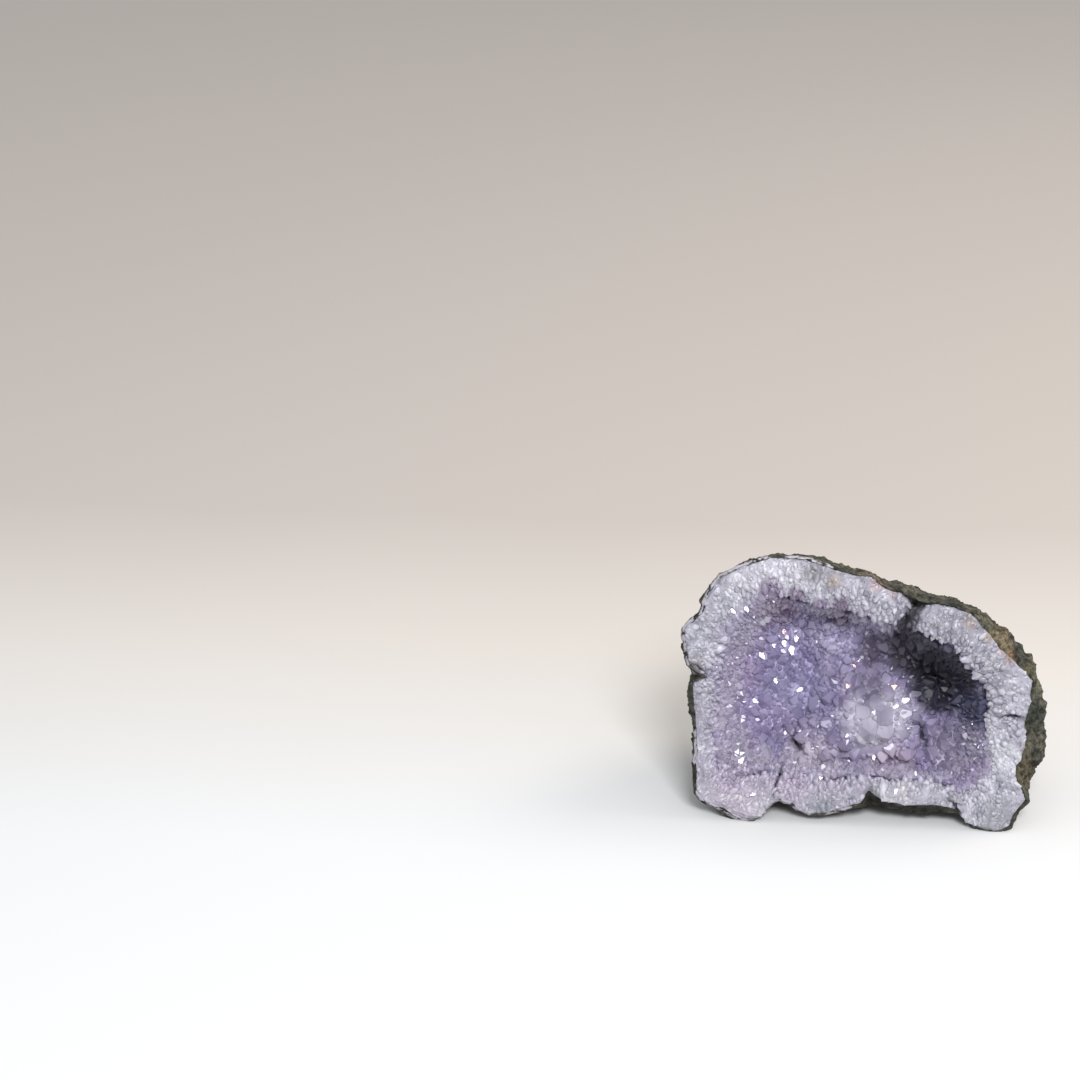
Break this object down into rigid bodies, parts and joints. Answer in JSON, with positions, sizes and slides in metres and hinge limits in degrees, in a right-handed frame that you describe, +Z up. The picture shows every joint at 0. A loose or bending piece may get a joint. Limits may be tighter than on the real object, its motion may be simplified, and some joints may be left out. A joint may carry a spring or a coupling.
{
  "type": "amethyst geode half",
  "caption": "Half of a broken amethyst geode: a thick pale quartz rim in a thin dark rock shell, round a hollow lined with purple crystal points.",
  "frame": {"origin": "on the ground, under the middle of the geode's box", "axes": "+Z up, -Y out of the hollow's mouth towards the viewer, +X to the viewer's right along the geode's length"},
  "size_m": [0.1302, 0.0744, 0.0885],
  "materials": {
    "basalt": "rough weathered volcanic rock, dark grey-brown with rusty patches",
    "quartz": "broken milky quartz, granular and slightly waxy",
    "amethyst": "glassy lilac to purple quartz points, clear at the tips"
  },
  "bodies": {
    "root": {"basalt_rind": "basalt", "quartz_band": "quartz", "amethyst_crust": "amethyst"}
  },
  "joints": []
}
